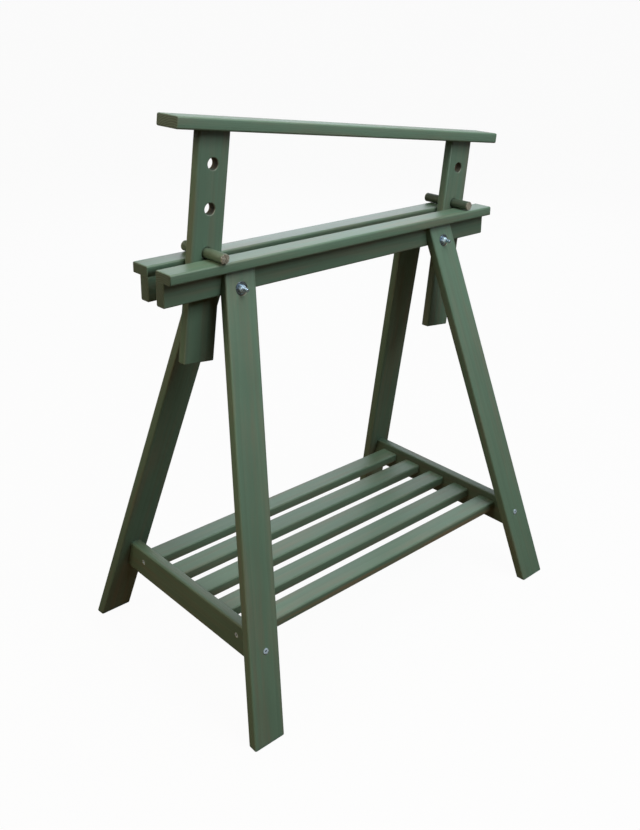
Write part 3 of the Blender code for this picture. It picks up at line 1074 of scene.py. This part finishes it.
class TRESTLE_OT_pegs(bpy.types.Operator):
    """Turn the two loose pegs"""

    bl_idname = "trestle.pegs"
    bl_label = "Pegs"

    def execute(self, context):
        pegs = context.scene.trestle_pegs
        for seed, node in enumerate(("peg_left", "peg_right"), 51):
            low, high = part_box(node)
            radius = (high.x - low.x) / 2
            reach = (high.y - low.y) / 2
            chance = Random(seed)
            end = radius - pegs.end_chamfer
            front = reach - pegs.end_chamfer
            heights = [front - step * RIPPLE_SPACING for step in range(RIPPLES)]
            heights = [height for height in heights if height > RIPPLE_SPACING / 2 - front]
            body = [(radius * chance.uniform(1 - RIPPLE_DEPTH, 1.0), height) for height in heights]
            face = [(end * part, reach) for part in (0, 0.25, 0.5, 0.75, 1.0)]
            near = [(radius, front - step) for step in (0.0, 0.001, 0.002)]
            far = [(radius, -front), (end, -reach), (0, 0.0003 - reach)]
            shape = turned(face + near + body[1:] + far, 64)
            tear(shape, reach, pegs.tear_depth * TEARS[node], seed)
            surface = peg_wood(node, pegs, seed)
            matrix = facing_matrix((low + high) / 2, FORWARDS)
            dress("turned", shape, surface, node, matrix)
        return {"FINISHED"}


class TRESTLE_OT_dowels(bpy.types.Operator):
    """Make the fluted dowels that are hidden in the joints"""

    bl_idname = "trestle.dowels"
    bl_label = "Dowels"

    def execute(self, context):
        pegs = context.scene.trestle_pegs
        surface = dowel_wood(pegs)
        tilt = Vector(frame["record"]["mounts"][0]["axis"])
        for node in sorted(frame["nodes"]):
            if "dowel" not in node:
                continue
            direction = tilt if node.startswith("post") else Vector((1, 0, 0))
            length = length_of(node, direction)
            low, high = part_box(node)
            radius = (high.y - low.y) / 2
            shape = prism(DOWEL_SIDES, radius, length)
            rims = [edge for edge in shape.edges if edge.verts[0].co.z * edge.verts[1].co.z > 0]
            bmesh.ops.bevel(
                shape,
                geom=rims,
                offset=DOWEL_CHAMFER,
                offset_type="OFFSET",
                segments=2,
                profile=0.5,
                affect="EDGES",
                material=-1,
            )
            for vertex in shape.verts:
                angle = Vector((1, 0)).angle_signed(vertex.co.xy, 0.0)
                turn = round(angle / (2 * pi / DOWEL_SIDES))
                if vertex.co.xy.length > radius * 0.8 and turn % 2:
                    vertex.co.xy = vertex.co.xy * (1 - pegs.flute_depth / radius)
            matrix = facing_matrix(middle_of(node), direction)
            dress("fluted", shape, surface, node, matrix)
        return {"FINISHED"}


class TRESTLE_OT_bolts(bpy.types.Operator):
    """Make the two threaded bolts with their heads at the rear"""

    bl_idname = "trestle.bolts"
    bl_label = "Bolts"

    def execute(self, context):
        fastenings = context.scene.trestle_fastenings
        surface = zinc_plate(fastenings, metallic=0.9)
        for side in ("left", "right"):
            node = "bolt_" + side
            low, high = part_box(node)
            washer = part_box("washer_rear_" + side)[1].y
            tip = -low.y
            seat = HEAD_HEIGHT - high.y
            if seat > -washer:
                raise RuntimeError(f"{node} doesn't reach its washer")
            under = seat - HEAD_RING
            crest = fastenings.bolt_diameter / 2
            core = crest - THREAD_DEPTH * fastenings.bolt_pitch
            start = tip - fastenings.threaded_length
            shank = turned(
                (
                    (0, tip),
                    (core - 0.0003, tip),
                    (core, tip - 0.0004),
                    (core, start),
                    (crest, start - 0.0006),
                    (crest, seat),
                    (crest * HEAD_RING_RADIUS, seat),
                    (crest * HEAD_RING_RADIUS, under),
                    (0, under),
                ),
                32,
            )
            ridge = thread(core, crest, fastenings.bolt_pitch, start, tip - 0.0008, 24)
            height = HEAD_HEIGHT - HEAD_RING
            head = hexagon(2 * crest / DIAMETER_TO_FLATS, height, (-1,))
            bmesh.ops.translate(head, verts=head.verts, vec=(0, 0, under - height / 2))
            centre = Vector(((low.x + high.x) / 2, 0, (low.z + high.z) / 2))
            matrix = facing_matrix(centre, FORWARDS)
            bolt = joined((shank, ridge, head))
            dress("threaded", bolt, surface, node, matrix, angle=30)
        return {"FINISHED"}


class TRESTLE_OT_nuts(bpy.types.Operator):
    """Make the lock nuts, washers and sleeves on the bolts"""

    bl_idname = "trestle.nuts"
    bl_label = "Nuts, Washers and Sleeves"

    def execute(self, context):
        fastenings = context.scene.trestle_fastenings
        # Painted reflection: the nuts are coloured lighter, for their bright glints
        surface = zinc_plate(fastenings, metallic=0.45, painted_reflection=1.3)
        rounding = fastenings.edge_rounding
        bore = fastenings.bolt_diameter / 2 + THREAD_PLAY
        flats = fastenings.bolt_diameter / DIAMETER_TO_FLATS
        height = NUT_HEIGHT
        for side in ("left", "right"):
            node = "nut_" + side
            low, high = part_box(node)
            drill = turned(((0, height), (bore, height), (bore, -height), (0, -height)), 32)
            block = without("block", hexagon(flats, height, (-1, 1)), [drill])
            foot = height / 2 - 0.0002
            top = high.y - low.y - height / 2
            ring = turned(
                (
                    (bore, foot),
                    (COLLAR_RADIUS, foot),
                    (COLLAR_RADIUS, top - 0.0009),
                    (COLLAR_RADIUS - 0.0003, top - 0.0003),
                    (COLLAR_RADIUS - 0.0009, top),
                    (bore + 0.0002, top - 0.0003),
                    (bore, top - 0.0008),
                ),
                40,
                closed=True,
            )
            centre = Vector(((low.x + high.x) / 2, high.y - height / 2, (low.z + high.z) / 2))
            matrix = facing_matrix(centre, FORWARDS)
            nut = joined((block, ring))
            dress("lock", nut, surface, node, matrix, angle=30)
        # Painted reflection: the washers and sleeves are coloured darker, for the dark things they
        # reflect
        surface = zinc_plate(fastenings, metallic=0.9, painted_reflection=0.5)
        for node in sorted(frame["nodes"]):
            if not node.startswith(("washer", "spacer")):
                continue
            low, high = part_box(node)
            outer = (high.x - low.x) / 2
            reach = (high.y - low.y) / 2
            corners = ((bore, reach), (outer, reach), (outer, -reach), (bore, -reach))
            ways = ((1, -1), (-1, -1), (-1, 1), (1, 1))
            profile = []
            # Three points round each corner
            for (radius, height), (sideways, upright) in zip(corners, ways):
                level = (radius + sideways * rounding, height)
                steep = (radius, height + upright * rounding)
                near = (radius + sideways * rounding * 0.3, height + upright * rounding * 0.3)
                turn = (level, near, steep) if sideways * upright > 0 else (steep, near, level)
                profile.extend(turn)
            ring = turned(profile, 48, closed=True)
            matrix = facing_matrix((low + high) / 2, FORWARDS)
            dress("turned", ring, surface, node, matrix, angle=50)
        return {"FINISHED"}


class TRESTLE_OT_screws(bpy.types.Operator):
    """Make the countersunk screws"""

    bl_idname = "trestle.screws"
    bl_label = "Screws"

    def execute(self, context):
        fastenings = context.scene.trestle_fastenings
        for node in sorted(frame["nodes"]):
            if "screw" not in node:
                continue
            if node.startswith("leg"):
                leg = grain_frame(node.replace("screw_", ""))
                outward = leg[1].to_matrix() @ UPWARDS
                if outward.y * middle_of(node).y < 0:
                    outward = -outward
            else:
                outward = Vector((1 if "right" in node else -1, 0, 0))
            length = length_of(node, outward)
            tip = SCREW_TIP_LENGTH - length
            profile = (
                (0, 0.0),
                (SCREW_HEAD_RADIUS - 0.0006, 0.0),
                (SCREW_HEAD_RADIUS, -0.0003),
                (SCREW_HEAD_RADIUS - 0.0002, -0.0006),
                (SCREW_RADIUS, -SCREW_HEAD_HEIGHT),
                (SCREW_RADIUS, -SCREW_SHANK_LENGTH),
                (SCREW_CORE_RADIUS, -SCREW_SHANK_LENGTH - 0.001),
                (SCREW_CORE_RADIUS, tip),
                (0, -length),
            )
            recess = []
            for size in RECESS_ARMS:
                arm = bmesh.new()
                block = Matrix.Diagonal((*size, RECESS_HEIGHT, 1.0))
                bmesh.ops.create_cube(arm, size=1.0, matrix=block)
                for vertex in arm.verts:
                    if vertex.co.z < 0:
                        vertex.co.xy = vertex.co.xy * RECESS_TAPER
                recess.append(arm)
            recess.append(turned(RECESS_CONE, 24))
            body = without("body", turned(profile, 40), recess)
            pitch = fastenings.screw_pitch
            end = -SCREW_SHANK_LENGTH - 0.002
            ridge = thread(SCREW_CORE_RADIUS, SCREW_RADIUS, pitch, tip, end, 16)
            top = middle_of(node) + outward * length / 2
            matrix = facing_matrix(top, outward)
            # Painted reflection: the screws are coloured lighter, for their bright glints
            surface = zinc_plate(fastenings, 0.4, 1.2, (top, matrix.to_euler("XYZ")))
            screw = joined((body, ridge))
            dress("countersunk", screw, surface, node, matrix, angle=30)
        return {"FINISHED"}


class TRESTLE_OT_stage(bpy.types.Operator):
    """Set up the floor, the light and the camera"""

    bl_idname = "trestle.stage"
    bl_label = "Stage"

    def execute(self, context):
        stage = context.scene.trestle_stage
        shape = bmesh.new()
        bmesh.ops.create_circle(shape, cap_ends=True, segments=64, radius=FLOOR_RADIUS)
        floor = as_object("floor", shape, Matrix.Translation((0, 0, -FLOOR_DROP)))
        finish = new_finish("floor paint")
        point = finish.node("ShaderNodeTexCoord", output="Object")
        clouds = finish.noise(point, (0.7, 0.7, 0.7), (0.0, 0.0, 0.0))
        colour = finish.mix(clouds, (0.02, 0.02, 0.02, 1.0), (0.03, 0.03, 0.03, 1.0))
        glow = {
            "Specular IOR Level": 0.0,
            "Emission Color": scaled(stage.floor_colour, 0.995),
            "Emission Strength": 1.0,
        }
        floor.data.materials.append(finish.done(colour, 0.9, clouds, 0.0001, glow))
        floor.visible_diffuse = False
        floor.visible_glossy = False

        panel("key", stage.key, (0.3, -2.0, 2.6), 1.6, (0.96, 1.00, 0.98))
        panel("overhead", stage.overhead, (0.1, -0.3, 1.9), 1.0, (0.92, 1.00, 0.99))
        panel("front right", stage.front_right, (1.6, -1.6, 1.0), 1.2, (0.82, 0.93, 1.00))
        panel("left", stage.left, (-1.6, 0.2, 1.9), 1.2, (1.00, 0.81, 0.56))
        panel("rear right", 0.86 * stage.rear, (2.3, 2.2, 2.0), 2.4, (0.90, 0.93, 1.00))
        panel("rear left", 0.14 * stage.rear, (1.3, 2.4, 1.4), 2.0, (0.69, 0.75, 1.00))
        panel("bounce", stage.bounce, (0.0, 0.0, 0.001), 3.0, (1.00, 0.42, 0.10), upwards=True)
        panel("glint", stage.glint, (-0.95, 1.08, 1.40), 0.5, (0.96, 0.98, 1.00))
        surround(stage.surroundings, stage.sheen, stage.floor_colour)
        camera_at(stage.focal_length)
        context.scene.view_settings.view_transform = "Standard"
        return {"FINISHED"}


def panel(name, power, place, size, colour, upwards=False):
    """A square panel of soft light, aimed at the trestle or upwards. The latter isn't mirrored."""
    lamp = bpy.data.lights.new(name, "AREA")
    lamp.energy = power
    lamp.size = size
    lamp.color = colour
    light = bpy.data.objects.new(name, lamp)
    beam = UPWARDS if upwards else LIGHTS_AIM - Vector(place)
    light.matrix_world = facing_matrix(Vector(place), -beam)
    light.visible_camera = False
    light.visible_glossy = not upwards
    bpy.context.scene.collection.objects.link(light)


def surround(strength, sheen, backdrop):
    """A pale backdrop that casts only a little light."""
    world = bpy.data.worlds.new("surroundings")
    finish = Finish(world)
    ray = finish.node("ShaderNodeLightPath", output="Is Camera Ray")
    seen = finish.node("ShaderNodeBackground", {}, {"Color": opaque(backdrop)})
    shine = finish.node(
        "ShaderNodeBackground", {}, {"Color": (1.00, 0.90, 0.66, 1.0), "Strength": sheen}
    )
    dim = finish.node(
        "ShaderNodeBackground", {}, {"Color": (1.00, 0.59, 0.30, 1.0), "Strength": strength}
    )
    mix = finish.node("ShaderNodeMixShader", {}, {0: ray.at("Is Glossy Ray"), 1: dim, 2: shine})
    mix = finish.node("ShaderNodeMixShader", {}, {0: ray, 1: mix, 2: seen})
    finish.node("ShaderNodeOutputWorld", {}, {"Surface": mix})
    bpy.context.scene.world = world


def camera_at(focal_length):
    """The camera, at the height and angle of the photograph."""
    lens = bpy.data.cameras.new("camera")
    lens.sensor_width = 36.0
    lens.lens = focal_length
    lens.shift_x, lens.shift_y = CAMERA_SHIFT
    lens.clip_start = 0.05
    lens.clip_end = 1000.0
    yaw, pitch, roll = (radians(turn) for turn in CAMERA_TURN)
    ahead = Vector((sin(yaw) * cos(pitch), cos(yaw) * cos(pitch), -sin(pitch)))
    level = Vector((cos(yaw), -sin(yaw), 0))
    upright = level.cross(ahead)
    right = level * cos(roll) + upright * sin(roll)
    up = upright * cos(roll) - level * sin(roll)
    turn = Matrix((right, up, -ahead)).transposed().to_4x4()
    camera = bpy.data.objects.new("camera", lens)
    camera.matrix_world = Matrix.Translation(CAMERA_PLACE) @ turn
    bpy.context.scene.collection.objects.link(camera)
    bpy.context.scene.camera = camera


OPERATORS = (
    TRESTLE_OT_rails,
    TRESTLE_OT_legs,
    TRESTLE_OT_shelf,
    TRESTLE_OT_top_frame,
    TRESTLE_OT_pegs,
    TRESTLE_OT_dowels,
    TRESTLE_OT_bolts,
    TRESTLE_OT_nuts,
    TRESTLE_OT_screws,
    TRESTLE_OT_stage,
)


class TRESTLE_PT_panel(bpy.types.Panel):
    """The sizes, colours and steps of the trestle"""

    bl_idname = "TRESTLE_PT_panel"
    bl_label = "Trestle"
    bl_space_type = "VIEW_3D"
    bl_region_type = "UI"
    bl_category = "Trestle"

    def draw(self, context):
        for name, group in GROUPS.items():
            box = self.layout.box()
            for field in group.__annotations__:
                box.prop(getattr(context.scene, name), field)
        for operator in OPERATORS:
            self.layout.operator(operator.bl_idname)


def register():
    """Adds the classes and their settings."""
    for item in (*GROUPS.values(), *OPERATORS, TRESTLE_PT_panel):
        bpy.utils.register_class(item)
    for name, group in GROUPS.items():
        setattr(bpy.types.Scene, name, PointerProperty(type=group))


def unregister():
    """Takes the classes and their settings away."""
    for name in GROUPS:
        delattr(bpy.types.Scene, name)
    for item in (TRESTLE_PT_panel, *reversed(OPERATORS), *reversed(GROUPS.values())):
        bpy.utils.unregister_class(item)


def main():
    """Makes every piece and the stage."""
    register()
    bpy.ops.trestle.rails()
    bpy.ops.trestle.legs()
    bpy.ops.trestle.shelf()
    bpy.ops.trestle.top_frame()
    bpy.ops.trestle.pegs()
    bpy.ops.trestle.dowels()
    bpy.ops.trestle.bolts()
    bpy.ops.trestle.nuts()
    bpy.ops.trestle.screws()
    bpy.ops.trestle.stage()


if __name__ == "__main__":
    main()
